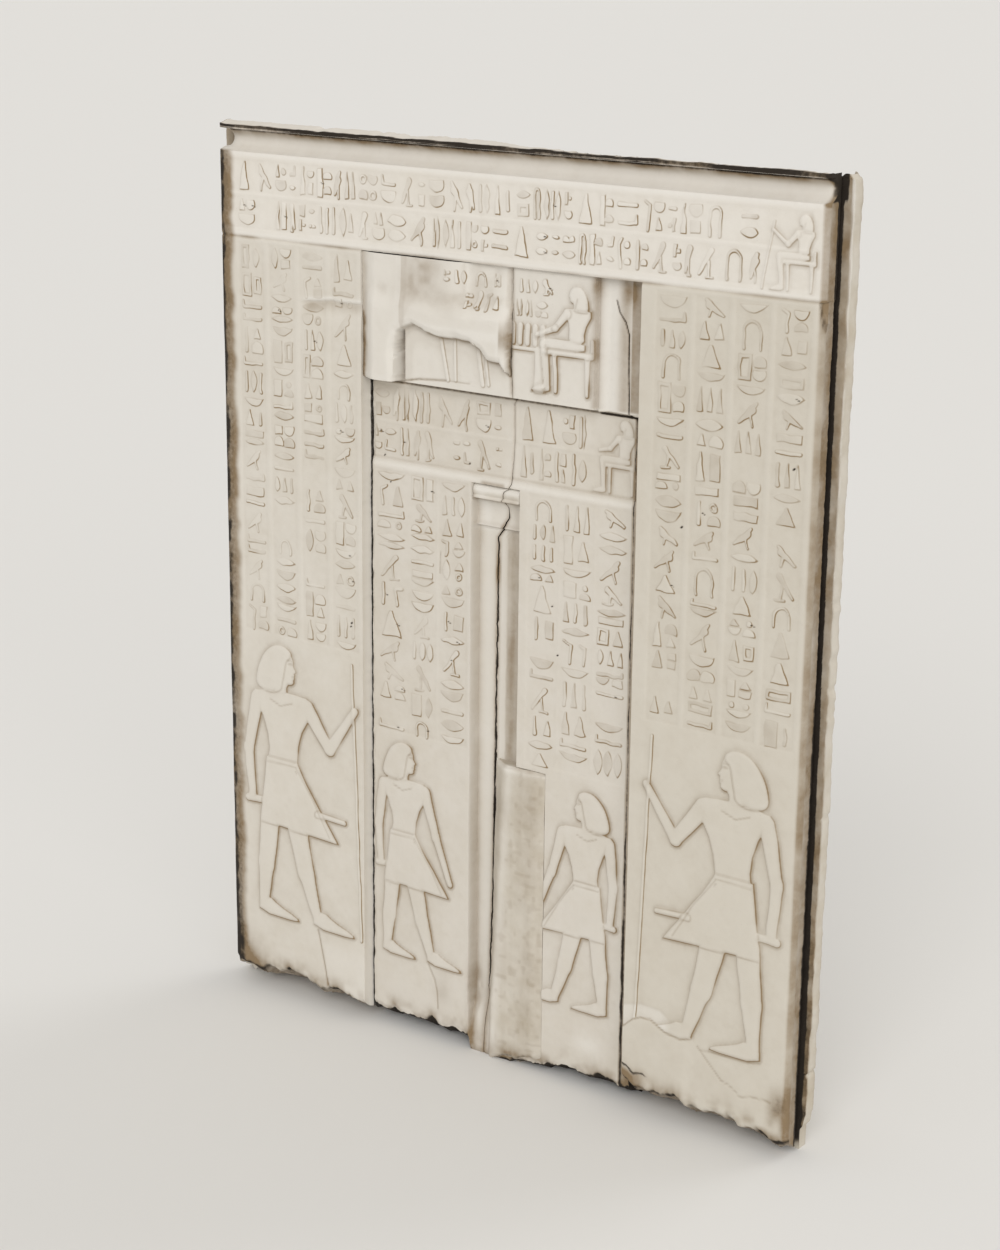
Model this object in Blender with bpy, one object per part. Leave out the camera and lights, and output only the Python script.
"""A stone false door: a cornice and jamb frame round a split inner panel, on a rough backing block.

Metres, +Z up. The carved face looks along -Y and every piece stands on z = 0.
Depths are counted from the face plane into the stone, along +Y.
"""
import math
import random

import bmesh
import bpy
from mathutils import Vector

FIT = 0.0005
OVERSHOOT = 0.0500

# Heights: the whole frame, then its courses from the top down
FRAME_TOP = 1.667
CORNICE_HEIGHT = 0.0506
LIP_HEIGHT = 0.0105
UPPER_LINTEL_HEIGHT = 0.1500
TABLET_HEIGHT = 0.2230
LOWER_LINTEL_HEIGHT = 0.1468
NICHE_MARGIN = 0.0166
LEDGE_Z = FRAME_TOP - CORNICE_HEIGHT
LIP_Z = FRAME_TOP - LIP_HEIGHT
LINTEL_Z = LEDGE_Z - UPPER_LINTEL_HEIGHT
TABLET_Z = LINTEL_Z - TABLET_HEIGHT
LOWER_LINTEL_Z = TABLET_Z - LOWER_LINTEL_HEIGHT
NICHE_TOP = LOWER_LINTEL_Z - NICHE_MARGIN

# Widths: the courses across the door, from left to right
LEFT_JAMB = 0.3300
LEFT_INNER_JAMB = 0.2230
NICHE_WIDTH = 0.1015
RIGHT_INNER_JAMB = 0.2551
RIGHT_JAMB = 0.3306
MIDDLE_OFFSET = 0.0009
TABLET_INSET_LEFT = 0.0910
TABLET_INSET_RIGHT = 0.0921
OPENING_WIDTH = LEFT_INNER_JAMB + NICHE_WIDTH + RIGHT_INNER_JAMB
FRAME_WIDTH = LEFT_JAMB + OPENING_WIDTH + RIGHT_JAMB
FRAME_LEFT = -FRAME_WIDTH / 2 - MIDDLE_OFFSET
FRAME_RIGHT = FRAME_LEFT + FRAME_WIDTH
OPENING_LEFT = FRAME_LEFT + LEFT_JAMB
OPENING_RIGHT = OPENING_LEFT + OPENING_WIDTH
NICHE_LEFT = OPENING_LEFT + LEFT_INNER_JAMB
NICHE_RIGHT = NICHE_LEFT + NICHE_WIDTH
TABLET_LEFT = OPENING_LEFT + TABLET_INSET_LEFT
TABLET_RIGHT = OPENING_RIGHT - TABLET_INSET_RIGHT

# Frame: its visible plate, and the narrower core that sits in the backing
PLATE = 0.040
PLATE_FOOT = 0.030
CORE_BACK = 0.090
CORE_INSET = 0.045
TOP_REBATE = 0.026
LEFT_WEAR = 0.036
LEFT_WEAR_DEPTH = 0.014
RIGHT_WEAR = 0.010
LEFT_NOTCH = 0.015
THROAT = 0.0255
LIP_BEAD = 0.0015

# Backing block
GROOVE = 0.0070
BACKING_RIM = 0.0290
BACKING_SHOWS_LEFT = 0.0183
BACKING_SHOWS_RIGHT = 0.0218
BACKING_FOOT_IN = 0.0080
BACKING_RISE = 0.0020
BACK_WALL = 0.1350
BACK_INSET = 0.1050
BACK_SLOPE = 0.1200
TOP_ROUND = 0.0180
BACKING_LEFT = FRAME_LEFT - BACKING_SHOWS_LEFT
BACKING_RIGHT = FRAME_RIGHT + BACKING_SHOWS_RIGHT
BACKING_TOP = FRAME_TOP + BACKING_RISE
BACKING_FRONT = PLATE + GROOVE
BACKING_BACK = CORE_BACK + BACK_WALL
LOSS_PROUD = 0.0090
FACE_Y = (LOSS_PROUD - BACKING_BACK) / 2

# Inner panel: depths of its planes
JOINT = 0.0030
TOP_JOINT = 0.0015
TABLET_DEPTH = 0.0090
LOWER_LINTEL_DEPTH = 0.0293
JAMB_DEPTH = 0.0258
APERTURE_DEPTH = 0.0230
APERTURE_GAP = 0.0160
NICHE_DEPTH = 0.0490
PANEL_LEFT = OPENING_LEFT + JOINT
PANEL_RIGHT = OPENING_RIGHT - JOINT
PANEL_TOP = LINTEL_Z - TOP_JOINT

# Drum at the head of the niche, the sill, and the repair block in the niche
DRUM_DROP = 0.0120
DRUM_RADIUS = 0.0125
DRUM_DEPTH = 0.0400
DRUM_RIGHT_IN = 0.0075
DRUM_HOUSED = 0.0060
SILL = 0.0400
FILL_INSET = 0.0450
FILL_WIDTH = 0.1202
FILL_HEIGHT = 0.5778
FILL_PROUD = 0.0080
FILL_LEFT = NICHE_LEFT + FILL_INSET
FILL_RIGHT = FILL_LEFT + FILL_WIDTH

# Crack between the halves of the inner panel, from the top down: x from the
# left side of the niche, height as a share of the opening's height
CRACK_GAP = 0.004
CRACK = (
    (0.0935, 1.0161),
    (0.0965, 0.9411),
    (0.0945, 0.8865),
    (0.0965, 0.8479),
    (0.0875, 0.8388),
    (0.0880, 0.7911),
    (0.0845, 0.7501),
    (0.0774, 0.7358),
    (0.0730, 0.7229),
    (0.0690, 0.7024),
    (0.0580, 0.6854),
    (0.0430, 0.6717),
    (0.0415, 0.5456),
    (0.0405, 0.4092),
    (0.0380, 0.2387),
    (0.0310, 0.0818),
    (0.0350, -0.0136),
)

# Smooth lost area over the left of the tablet: x from the left side of the
# opening, height over the foot of the tablet
LOSS_SIDE_DEPTH = 0.0200
LOSS_FADE = 0.0964
LOSS_HEAD = 0.0045
LOSS_EDGE = (
    (0.0750, 0.0006),
    (0.0780, 0.0886),
    (0.1150, 0.1046),
    (0.1410, 0.0946),
    (0.1860, 0.0896),
    (0.2350, 0.0896),
    (0.2580, 0.0766),
    (0.2730, 0.0596),
    (0.2990, 0.0596),
    (0.3125, 0.0426),
)

# Broken lower edge: x, height of the front edge above the ground
FOOT_FRAME = (
    (-0.640, 0.040),
    (-0.560, 0.043),
    (-0.490, 0.052),
    (-0.455, 0.056),
    (-0.405, 0.037),
    (-0.380, 0.044),
    (-0.290, 0.042),
    (0.288, 0.055),
    (0.345, 0.044),
    (0.370, 0.050),
    (0.440, 0.044),
    (0.510, 0.046),
    (0.560, 0.036),
    (0.640, 0.030),
)
FOOT_PANEL = (
    (-0.300, 0.030),
    (-0.180, 0.033),
    (-0.090, 0.030),
    (-0.070, 0.020),
    (-0.066, -0.010),
    (0.010, -0.010),
    (0.022, 0.006),
    (0.080, 0.020),
    (0.130, 0.029),
    (0.300, 0.023),
)
FOOT_FILL = (
    (-0.100, -0.010),
    (-0.012, -0.010),
    (0.004, 0.008),
    (0.050, 0.020),
    (0.100, 0.027),
    (0.150, 0.027),
)
FOOT_STEP = 0.033
FOOT_ROUGH = 0.0035
UNDERCUT = 1.75

# Raised figures
RELIEF = 0.0036
RELIEF_STEP = 0.0003
RELIEF_ROOT = 0.0040
MAN_HEIGHT = 0.552
MAN_GROUND = 0.162
MAN_OUT_LEFT = 0.1914
MAN_OUT_RIGHT = 0.2070
SMALL_HEIGHT = 0.426
SMALL_RIGHT_HEIGHT = 0.420
SMALL_GROUND = 0.145
SMALL_IN_LEFT = 0.0767
SMALL_IN_RIGHT = 0.1036
LINTEL_FIGURE = 0.1212
LINTEL_FIGURE_IN = 0.0372
LINTEL_FIGURE_UP = 0.0120
TABLET_FIGURE = 0.1840
TABLET_FIGURE_IN = 0.0375
TABLET_FIGURE_UP = 0.0186
TABLE_HEIGHT = 0.1100
TABLE_IN = 0.1365
LOWER_FIGURE = 0.1290
LOWER_FIGURE_IN = 0.0426
LOWER_FIGURE_UP = 0.0044

STONE = (0.66, 0.61, 0.52, 1.0)
STONE_WARM = (0.62, 0.56, 0.46, 1.0)
STONE_DARK = (0.46, 0.40, 0.31, 1.0)


def clear_scene():
    """Remove whatever the file starts with."""
    for old in list(bpy.data.objects):
        bpy.data.objects.remove(old, do_unlink=True)


def new_material(name, colour, roughness):
    """Return a plain stone material."""
    material = bpy.data.materials.new(name)
    material.use_nodes = True
    shader = material.node_tree.nodes["Principled BSDF"]
    shader.inputs["Base Color"].default_value = colour
    shader.inputs["Roughness"].default_value = roughness
    material.diffuse_color = colour
    return material


def new_collection(name):
    """Return a new collection linked to the scene."""
    collection = bpy.data.collections.new(name)
    bpy.context.scene.collection.children.link(collection)
    return collection


def mesh_object(name, vertices, faces, collection):
    """Return an object made from vertices and faces, with outward normals."""
    mesh = bpy.data.meshes.new(name)
    mesh.from_pydata([tuple(v) for v in vertices], [], faces)
    work = bmesh.new()
    work.from_mesh(mesh)
    bmesh.ops.recalc_face_normals(work, faces=work.faces)
    work.to_mesh(mesh)
    work.free()
    made = bpy.data.objects.new(name, mesh)
    collection.objects.link(made)
    return made


def prism_parts(points, start, end, axis):
    """Return vertices and faces of a polygon swept along one axis."""
    vertices = []
    for level in (start, end):
        for first, second in points:
            if axis == "X":
                vertices.append((level, first, second))
            elif axis == "Y":
                vertices.append((first, level, second))
            else:
                vertices.append((first, second, level))
    count = len(points)
    faces = [tuple(range(count)), tuple(range(2 * count - 1, count - 1, -1))]
    for i in range(count):
        j = (i + 1) % count
        faces.append((i, j, count + j, count + i))
    return vertices, faces


def prism(name, points, start, end, axis, collection):
    """Return a prism object: the polygon swept along the axis."""
    vertices, faces = prism_parts(points, start, end, axis)
    return mesh_object(name, vertices, faces, collection)


def box(name, low, high, collection):
    """Return a box between two corners."""
    outline = ((low[0], low[1]), (high[0], low[1]), (high[0], high[1]), (low[0], high[1]))
    return prism(name, outline, low[2], high[2], "Z", collection)


def loft(name, rings, collection):
    """Return a solid through rings with equal point counts, closed at both ends."""
    vertices = [point for ring in rings for point in ring]
    count = len(rings[0])
    faces = [tuple(range(count - 1, -1, -1))]
    last = (len(rings) - 1) * count
    faces.append(tuple(range(last, last + count)))
    for level in range(len(rings) - 1):
        for i in range(count):
            j = (i + 1) % count
            base = level * count
            faces.append((base + i, base + j, base + count + j, base + count + i))
    return mesh_object(name, vertices, faces, collection)


def combine(target, other, operation):
    """Apply one exact boolean to the target and drop the other object's mesh."""
    modifier = target.modifiers.new(operation.lower(), "BOOLEAN")
    modifier.operation = operation
    modifier.solver = "EXACT"
    modifier.object = other
    graph = bpy.context.evaluated_depsgraph_get()
    result = bpy.data.meshes.new_from_object(target.evaluated_get(graph))
    target.modifiers.clear()
    target.data = result
    bpy.data.objects.remove(other, do_unlink=True)


def tidy(target):
    """Merge stray doubles and triangulate so the mesh is closed and plain."""
    work = bmesh.new()
    work.from_mesh(target.data)
    bmesh.ops.remove_doubles(work, verts=work.verts, dist=0.00002)
    bmesh.ops.dissolve_degenerate(work, dist=0.00002, edges=work.edges)
    bmesh.ops.triangulate(work, faces=work.faces)
    bmesh.ops.recalc_face_normals(work, faces=work.faces)
    work.to_mesh(target.data)
    work.free()


def interpolate(table, x):
    """Return the height at x on a line of (x, height) points."""
    if x <= table[0][0]:
        return table[0][1]
    for (x0, h0), (x1, h1) in zip(table, table[1:]):
        if x <= x1:
            return h0 + (h1 - h0) * (x - x0) / max(x1 - x0, 1e-9)
    return table[-1][1]


def foot_cutter(name, table, plane_depth, seed, collection):
    """Return the solid that breaks the lower front edge away along x."""
    noise = random.Random(seed)
    left = BACKING_LEFT - OVERSHOOT
    right = BACKING_RIGHT + OVERSHOOT
    count = round((right - left) / FOOT_STEP)
    edge = FACE_Y + plane_depth
    front = edge - OVERSHOOT
    floor = -OVERSHOOT
    rings = []
    for i in range(count + 1):
        x = left + (right - left) * i / count
        height = interpolate(table, x)
        if height > 0.002:
            height += noise.uniform(-FOOT_ROUGH, FOOT_ROUGH)
            reach = edge + UNDERCUT * max(height, 0.0) + 0.004
        else:
            height = -0.010
            reach = edge - 0.004
        rings.append((
            (x, front, floor),
            (x, front, height + 0.003),
            (x, edge, height),
            (x, reach, -0.002 + min(height, 0.0)),
            (x, reach + 0.003, floor),
        ))
    return loft(name, rings, collection)


def plan_of_frame(z):
    """Return the frame's outline in plan at one height, before its opening is cut."""
    side = FACE_Y + PLATE_FOOT + (PLATE - PLATE_FOOT) * z / FRAME_TOP
    core = FACE_Y + CORE_BACK
    left_turns = 4
    right_turns = 3
    outline = []
    for i in range(left_turns + 1):
        turn = math.pi / 2 * i / left_turns
        outline.append((
            FRAME_LEFT + LEFT_WEAR * (1 - math.sin(turn)),
            FACE_Y + LEFT_WEAR_DEPTH * (1 - math.cos(turn)),
            z,
        ))
    outline.append((FRAME_LEFT, side, z))
    outline.append((FRAME_LEFT + CORE_INSET, side, z))
    outline.append((FRAME_LEFT + CORE_INSET, core, z))
    outline.append((FRAME_RIGHT - CORE_INSET, core, z))
    outline.append((FRAME_RIGHT - CORE_INSET, side, z))
    outline.append((FRAME_RIGHT, side, z))
    for i in range(right_turns + 1):
        turn = math.pi / 2 * i / right_turns
        outline.append((
            FRAME_RIGHT - RIGHT_WEAR * (1 - math.cos(turn)),
            FACE_Y + RIGHT_WEAR * (1 - math.sin(turn)),
            z,
        ))
    return outline


def cornice_hollow():
    """Return the cutting profile (y, z) of the cavetto under the lip."""
    foot = LEDGE_Z + LIP_BEAD
    rise = LIP_Z - LEDGE_Z
    steps = 9
    start = 0.002
    points = [(FACE_Y - OVERSHOOT, foot), (FACE_Y + start, foot)]
    for i in range(1, steps):
        share = i / steps
        sweep = math.sin(math.pi * share) ** 0.75
        depth = start + (THROAT - start) * sweep * (0.78 + 0.22 * share)
        points.append((FACE_Y + depth, foot + rise * share))
    points.append((FACE_Y - 0.0005, LIP_Z))
    points.append((FACE_Y - OVERSHOOT, LIP_Z))
    return points


def make_frame(collection):
    """Return the cornice, upper lintel and outer jambs as one solid."""
    frame = loft("frame", [plan_of_frame(0.0), plan_of_frame(FRAME_TOP)], collection)
    rebate_low = (FRAME_LEFT - OVERSHOOT, FACE_Y + PLATE, FRAME_TOP - TOP_REBATE)
    rebate_high = (FRAME_RIGHT + OVERSHOOT, FACE_Y + CORE_BACK + OVERSHOOT, FRAME_TOP + OVERSHOOT)
    combine(frame, box("rebate", rebate_low, rebate_high, collection), "DIFFERENCE")
    far_left = FRAME_LEFT - OVERSHOOT
    far_right = FRAME_RIGHT + OVERSHOOT
    combine(frame, prism("hollow", cornice_hollow(), far_left, far_right, "X", collection), "DIFFERENCE")
    worn_foot = LEDGE_Z + 0.007
    worn_head = LIP_Z - 0.001
    worn = (
        (FACE_Y - OVERSHOOT, worn_foot),
        (FACE_Y + PLATE + 0.002, worn_foot),
        (FACE_Y + PLATE + 0.002, worn_head),
        (FACE_Y - OVERSHOOT, worn_head),
    )
    combine(frame, prism("worn", worn, far_left, FRAME_LEFT + LEFT_NOTCH, "X", collection), "DIFFERENCE")
    opening_low = (OPENING_LEFT, FACE_Y - OVERSHOOT, -OVERSHOOT)
    opening_high = (OPENING_RIGHT, FACE_Y + CORE_BACK + OVERSHOOT, LINTEL_Z)
    combine(frame, box("opening", opening_low, opening_high, collection), "DIFFERENCE")
    combine(frame, foot_cutter("foot", FOOT_FRAME, 0.0, 11, collection), "DIFFERENCE")
    return frame


def crack_side(side):
    """Return the crack's line moved half the gap to one side."""
    return [(NICHE_LEFT + x + side * CRACK_GAP / 2, share * LINTEL_Z) for x, share in CRACK]


def drum_outline():
    """Return the drum's cross section (y, z)."""
    count = 10
    middle_y = FACE_Y + DRUM_DEPTH
    middle_z = NICHE_TOP - DRUM_DROP
    points = []
    for i in range(count):
        turn = 2 * math.pi * i / count + 0.1
        points.append((middle_y + DRUM_RADIUS * math.cos(turn), middle_z + DRUM_RADIUS * math.sin(turn)))
    return points


def make_loss(back, collection):
    """Return the smooth, shapeless mass that is left of the tablet's upper left."""
    head = PANEL_TOP - LOSS_HEAD - TOP_JOINT
    outline = [(PANEL_LEFT, TABLET_Z + LOSS_EDGE[0][1])]
    outline += [(OPENING_LEFT + x, TABLET_Z + z) for x, z in LOSS_EDGE]
    last = OPENING_LEFT + LOSS_EDGE[-1][0]
    outline += [(last + 0.004, LINTEL_Z - LOSS_FADE), (last + 0.012, head), (PANEL_LEFT, head)]
    proud = FACE_Y - LOSS_PROUD
    loss = prism("loss", outline, proud, back - 0.012, "Y", collection)
    slope = (
        (PANEL_LEFT - 0.020, proud - OVERSHOOT),
        (PANEL_LEFT + 0.085, proud - OVERSHOOT),
        (PANEL_LEFT + 0.085, proud - 0.0005),
        (PANEL_LEFT + 0.050, FACE_Y + LOSS_SIDE_DEPTH * 0.25),
        (PANEL_LEFT + 0.020, FACE_Y + LOSS_SIDE_DEPTH * 0.80),
        (PANEL_LEFT - 0.020, FACE_Y + LOSS_SIDE_DEPTH),
    )
    low = TABLET_Z - OVERSHOOT
    high = LINTEL_Z + OVERSHOOT
    combine(loss, prism("slope", slope, low, high, "Z", collection), "DIFFERENCE")
    fade = (
        (proud - OVERSHOOT, LINTEL_Z - LOSS_FADE),
        (proud - 0.0006, LINTEL_Z - LOSS_FADE),
        (FACE_Y + 0.0015, PANEL_TOP - 0.030),
        (FACE_Y + 0.0060, PANEL_TOP + 0.010),
        (proud - OVERSHOOT, PANEL_TOP + 0.010),
    )
    far_left = PANEL_LEFT - OVERSHOOT
    far_right = PANEL_RIGHT + OVERSHOOT
    combine(loss, prism("fade", fade, far_left, far_right, "X", collection), "DIFFERENCE")
    return loss


def make_panel(name, side, collection):
    """Return one half of the inner panel; side is -1 for left and 1 for right."""
    front = FACE_Y + JAMB_DEPTH
    back = FACE_Y + CORE_BACK
    panel = box(name, (PANEL_LEFT, front, 0.0), (PANEL_RIGHT, back, PANEL_TOP), collection)
    recess_low = (PANEL_LEFT - OVERSHOOT, front - OVERSHOOT, LOWER_LINTEL_Z)
    recess_high = (PANEL_RIGHT + OVERSHOOT, FACE_Y + LOWER_LINTEL_DEPTH, PANEL_TOP + OVERSHOOT)
    combine(panel, box("recess", recess_low, recess_high, collection), "DIFFERENCE")
    niche_low = (NICHE_LEFT, front - OVERSHOOT, SILL)
    niche_high = (NICHE_RIGHT, FACE_Y + NICHE_DEPTH, NICHE_TOP)
    combine(panel, box("niche", niche_low, niche_high, collection), "DIFFERENCE")
    drum_right = NICHE_RIGHT + DRUM_HOUSED if side < 0 else NICHE_RIGHT - DRUM_RIGHT_IN
    drum = prism("drum", drum_outline(), NICHE_LEFT - DRUM_HOUSED, drum_right, "X", collection)
    combine(panel, drum, "UNION")
    tablet_low = (TABLET_LEFT, FACE_Y + TABLET_DEPTH, TABLET_Z)
    tablet_high = (TABLET_RIGHT, back - 0.010, PANEL_TOP + 0.0004)
    combine(panel, box("tablet", tablet_low, tablet_high, collection), "UNION")
    if side < 0:
        combine(panel, make_loss(back, collection), "UNION")
    else:
        soft_low = (TABLET_RIGHT - 0.004, FACE_Y + APERTURE_DEPTH, TABLET_Z - 0.005)
        soft_high = (PANEL_RIGHT - APERTURE_GAP, back - 0.014, PANEL_TOP - 0.001)
        combine(panel, box("filler", soft_low, soft_high, collection), "UNION")
    return panel


def finish_panel(panel, side, collection):
    """Cut the seat of the repair block, the crack and the broken foot of one half."""
    if side > 0:
        rebate_low = (NICHE_LEFT - OVERSHOOT, FACE_Y - OVERSHOOT, -OVERSHOOT)
        rebate_high = (FILL_RIGHT + FIT, FACE_Y + NICHE_DEPTH, FILL_HEIGHT + FIT)
        combine(panel, box("rebate", rebate_low, rebate_high, collection), "DIFFERENCE")
    line = crack_side(side)
    far = PANEL_LEFT - OVERSHOOT if side < 0 else PANEL_RIGHT + OVERSHOOT
    half = [(far, line[-1][1]), (far, line[0][1])] + line
    keep_back = FACE_Y + CORE_BACK + OVERSHOOT
    combine(panel, prism("keep", half, FACE_Y - OVERSHOOT, keep_back, "Y", collection), "INTERSECT")
    combine(panel, foot_cutter("foot", FOOT_PANEL, JAMB_DEPTH, 23, collection), "DIFFERENCE")


def make_fill(collection):
    """Return the rounded repair block that stands in the niche."""
    back = FACE_Y + NICHE_DEPTH - FIT
    front = FACE_Y + JAMB_DEPTH - FILL_PROUD
    noise = random.Random(5)
    levels = 12
    count = 8
    rings = []
    for level in range(levels + 1):
        share = level / levels
        z = FILL_HEIGHT * share
        left = FILL_LEFT - 0.010 * (1 - share)
        right = FILL_RIGHT - 0.003 * math.sin(math.pi * share)
        middle = front + 0.002 * (1 - share) + noise.uniform(-0.0007, 0.0007)
        ring = []
        for i in range(count + 1):
            across = i / count
            rounding = abs(2 * across - 1) ** 3.2
            depth = (back - middle - 0.002) * rounding * 0.62
            ring.append((left + (right - left) * across, middle + depth, z))
        ring.append((right, back, z))
        ring.append((left, back, z))
        rings.append(ring)
    fill = loft("niche_fill", rings, collection)
    plane = JAMB_DEPTH - FILL_PROUD
    combine(fill, foot_cutter("foot", FOOT_FILL, plane, 31, collection), "DIFFERENCE")
    return fill


def make_backing(collection):
    """Return the rough block behind, with the pocket that holds the door."""
    front = FACE_Y + BACKING_FRONT
    rim = front + BACKING_RIM
    back = FACE_Y + BACKING_BACK
    noise = random.Random(3)
    levels = 34
    rings = []
    for level in range(levels + 1):
        share = level / levels
        z = BACKING_TOP * share
        over_top = max(0.0, z - (BACKING_TOP - TOP_ROUND)) / TOP_ROUND
        left = BACKING_LEFT + noise.uniform(0.0, 0.003)
        right = BACKING_RIGHT - BACKING_FOOT_IN * (1 - share) - noise.uniform(0.0, 0.002)
        if share < 0.3:
            right -= noise.uniform(0.0, 0.006)
        if level == 0:
            right -= 0.012
        right -= 0.010 * over_top ** 2
        left += 0.008 * over_top ** 2
        slope = min(1.0, (BACKING_TOP - z) / BACK_SLOPE) ** 0.7
        tail = rim + (back - rim) * (0.18 + 0.82 * slope)
        inset = BACK_INSET * (tail - rim) / (back - rim)
        middle = (rim + tail) / 2
        rings.append((
            (left, front, z),
            (right, front, z),
            (right, rim, z),
            (right - inset * 0.45, middle, z),
            (right - inset, tail, z),
            (left + inset, tail, z),
            (left + inset * 0.45, middle, z),
            (left, rim, z),
        ))
    backing = loft("backing", rings, collection)
    pocket_low = (FRAME_LEFT + CORE_INSET - FIT, front - OVERSHOOT, -OVERSHOOT)
    pocket_high = (FRAME_RIGHT - CORE_INSET + FIT, FACE_Y + CORE_BACK + FIT, FRAME_TOP - TOP_REBATE + FIT)
    combine(backing, box("pocket", pocket_low, pocket_high, collection), "DIFFERENCE")
    combine(backing, foot_cutter("foot", FOOT_FRAME, 0.0, 11, collection), "DIFFERENCE")
    return backing


def limb(start, end, start_radius, end_radius, steps=3):
    """Return the outline of a tapered stroke with rounded ends."""
    first = Vector(start)
    second = Vector(end)
    along = (second - first).normalized()
    turn = math.atan2(along.y, along.x)
    points = []
    for i in range(steps + 1):
        angle = turn + math.pi / 2 + math.pi * i / steps
        points.append((first.x + start_radius * math.cos(angle), first.y + start_radius * math.sin(angle)))
    for i in range(steps + 1):
        angle = turn - math.pi / 2 + math.pi * i / steps
        points.append((second.x + end_radius * math.cos(angle), second.y + end_radius * math.sin(angle)))
    return points


def standing_figure(arm_up):
    """Return outlines of a standing man in profile, height 1, feet on 0, facing +x."""
    head = ((-0.125, 0.835), (-0.112, 0.900), (-0.082, 0.960), (-0.030, 0.998),
            (0.022, 0.985), (0.046, 0.950), (0.060, 0.915), (0.046, 0.880),
            (0.020, 0.868), (0.016, 0.825), (-0.060, 0.815))
    torso = ((-0.150, 0.812), (-0.060, 0.832), (0.030, 0.835), (0.125, 0.828),
             (0.120, 0.775), (0.066, 0.680), (0.052, 0.560), (-0.074, 0.560),
             (-0.062, 0.640), (-0.105, 0.760))
    kilt = ((-0.076, 0.585), (0.056, 0.585), (0.232, 0.336), (-0.108, 0.348))
    parts = [torso, head, kilt]
    parts.append(limb((-0.066, 0.380), (-0.086, 0.190), 0.042, 0.034))
    parts.append(limb((-0.086, 0.200), (-0.100, 0.040), 0.034, 0.020))
    parts.append(((-0.124, 0.004), (0.060, 0.004), (0.052, 0.018), (-0.040, 0.050), (-0.118, 0.056)))
    parts.append(limb((0.050, 0.380), (0.094, 0.190), 0.046, 0.034))
    parts.append(limb((0.092, 0.200), (0.142, 0.040), 0.034, 0.020))
    parts.append(((0.122, 0.004), (0.305, 0.004), (0.298, 0.018), (0.205, 0.050), (0.126, 0.056)))
    spread = 0.014 if arm_up else 0.0
    parts.append(limb((-0.117, 0.790), (-0.144 - spread, 0.600), 0.028, 0.021))
    parts.append(limb((-0.144 - spread, 0.610), (-0.130 - spread, 0.428), 0.021, 0.017))
    if arm_up:
        parts.append(limb((0.106, 0.795), (0.202, 0.668), 0.028, 0.020))
        parts.append(limb((0.202, 0.668), (0.312, 0.826), 0.020, 0.013))
        parts.append(limb((0.298, 1.010), (0.334, 0.004), 0.0055, 0.0055, 2))
        parts.append(limb((0.160, 0.424), (0.262, 0.420), 0.010, 0.010, 2))
    else:
        parts.append(limb((0.112, 0.795), (0.168, 0.600), 0.028, 0.020))
        parts.append(limb((0.168, 0.610), (0.244, 0.405), 0.020, 0.015))
    return parts


def seated_figure(arm_end, staff):
    """Return outlines of a seated figure on a chair, height 1, facing +x."""
    head = ((-0.113, 0.771), (-0.100, 0.900), (-0.050, 0.985), (0.020, 1.000),
            (0.078, 0.960), (0.098, 0.900), (0.060, 0.850), (0.042, 0.778))
    torso = ((-0.190, 0.765), (-0.060, 0.800), (0.140, 0.790), (0.130, 0.740),
             (0.085, 0.640), (0.090, 0.480), (-0.080, 0.480), (-0.075, 0.600))
    lap = ((-0.085, 0.500), (0.330, 0.505), (0.390, 0.470), (0.385, 0.395), (-0.085, 0.400))
    parts = [torso, head, lap]
    parts.append(limb((0.348, 0.440), (0.320, 0.060), 0.045, 0.030))
    parts.append(((0.285, 0.004), (0.500, 0.004), (0.480, 0.030), (0.350, 0.085), (0.290, 0.070)))
    parts.append(((-0.175, 0.352), (0.300, 0.352), (0.305, 0.412), (-0.178, 0.412)))
    parts.append(limb((0.235, 0.360), (0.225, 0.020), 0.024, 0.018, 2))
    parts.append(limb((-0.120, 0.360), (-0.115, 0.020), 0.030, 0.018, 2))
    parts.append(limb((-0.165, 0.375), (-0.165, 0.520), 0.022, 0.018, 2))
    parts.append(limb((0.110, 0.745), (0.235, 0.600), 0.040, 0.030))
    parts.append(limb((0.235, 0.600), arm_end, 0.030, 0.022))
    if staff:
        parts.append(limb((0.445, 0.880), (0.600, 0.010), 0.014, 0.014, 2))
    return parts


def offering_table():
    """Return outlines of a small table with its load, height 1, facing +x."""
    parts = [((-0.34, 0.80), (0.32, 0.80), (0.32, 1.00), (-0.34, 1.00))]
    parts.append(((-0.40, 0.60), (0.42, 0.60), (0.38, 0.66), (-0.38, 0.66)))
    parts.append(limb((-0.20, 0.62), (-0.22, 0.03), 0.060, 0.100, 2))
    return parts


def raise_figure(target, outlines, origin, height, facing, depth, collection):
    """Raise a set of outlines from a plane of the target as one relief."""
    relief = None
    for index, outline in enumerate(outlines):
        points = [(origin[0] + facing * height * x, origin[1] + height * z) for x, z in outline]
        front = FACE_Y + depth - RELIEF - RELIEF_STEP * (index % 5)
        root = FACE_Y + depth + RELIEF_ROOT + RELIEF_STEP * (index % 7)
        stroke = prism("stroke", points, front, root, "Y", collection)
        if relief is None:
            relief = stroke
        else:
            combine(relief, stroke, "UNION")
    combine(target, relief, "UNION")


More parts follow.
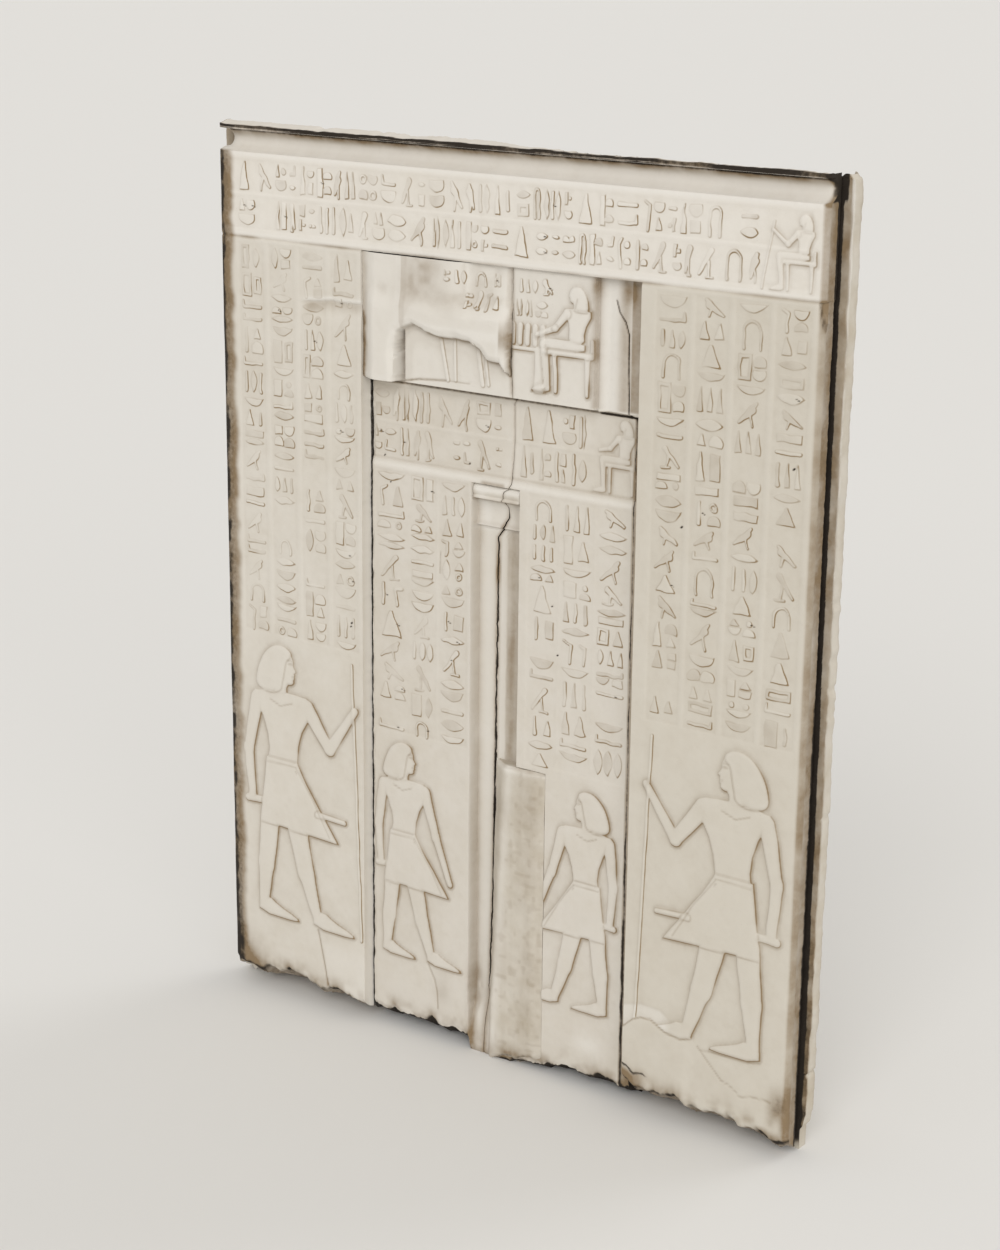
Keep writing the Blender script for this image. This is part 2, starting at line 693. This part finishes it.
def carve_frame(frame, collection):
    """Raise the two large men and the seated figure of the upper lintel."""
    left_man = (OPENING_LEFT - MAN_OUT_LEFT, MAN_GROUND)
    right_man = (OPENING_RIGHT + MAN_OUT_RIGHT, MAN_GROUND)
    raise_figure(frame, standing_figure(True), left_man, MAN_HEIGHT, 1, 0.0, collection)
    raise_figure(frame, standing_figure(True), right_man, MAN_HEIGHT, -1, 0.0, collection)
    seat = (FRAME_RIGHT - LINTEL_FIGURE_IN, LINTEL_Z + LINTEL_FIGURE_UP)
    raise_figure(frame, seated_figure((0.458, 0.775), True), seat, LINTEL_FIGURE, -1, 0.0, collection)


def carve_left_panel(panel, collection):
    """Raise the small man of the left inner jamb."""
    man = (OPENING_LEFT + SMALL_IN_LEFT, SMALL_GROUND)
    raise_figure(panel, standing_figure(False), man, SMALL_HEIGHT, 1, JAMB_DEPTH, collection)


def carve_right_panel(panel, collection):
    """Raise the small man, and the figures of the tablet and the lower lintel."""
    man = (OPENING_RIGHT - SMALL_IN_RIGHT, SMALL_GROUND)
    raise_figure(panel, standing_figure(False), man, SMALL_RIGHT_HEIGHT, -1, JAMB_DEPTH, collection)
    ground = TABLET_Z + TABLET_FIGURE_UP
    guest = (TABLET_RIGHT - TABLET_FIGURE_IN, ground)
    seated = seated_figure((0.430, 0.520), False)
    raise_figure(panel, seated, guest, TABLET_FIGURE, -1, TABLET_DEPTH, collection)
    table = (TABLET_RIGHT - TABLE_IN, ground)
    raise_figure(panel, offering_table(), table, TABLE_HEIGHT, -1, TABLET_DEPTH, collection)
    seat = (OPENING_RIGHT - LOWER_FIGURE_IN, LOWER_LINTEL_Z + LOWER_FIGURE_UP)
    lower = seated_figure((0.400, 0.560), False)
    raise_figure(panel, lower, seat, LOWER_FIGURE, -1, LOWER_LINTEL_DEPTH, collection)


def main():
    """Build every piece."""
    clear_scene()
    parts = new_collection("false_door")
    stone = new_material("limestone", STONE, 0.85)
    warm = new_material("limestone_inner", STONE_WARM, 0.85)
    repair = new_material("limestone_repair", STONE_WARM, 0.9)
    dark = new_material("limestone_rough", STONE_DARK, 0.92)

    frame = make_frame(parts)
    carve_frame(frame, parts)
    left = make_panel("panel_left", -1, parts)
    carve_left_panel(left, parts)
    finish_panel(left, -1, parts)
    right = make_panel("panel_right", 1, parts)
    carve_right_panel(right, parts)
    finish_panel(right, 1, parts)
    fill = make_fill(parts)
    backing = make_backing(parts)

    for made, material in ((frame, stone), (left, warm), (right, warm), (fill, repair), (backing, dark)):
        tidy(made)
        made.data.materials.clear()
        made.data.materials.append(material)
        for polygon in made.data.polygons:
            polygon.material_index = 0


main()
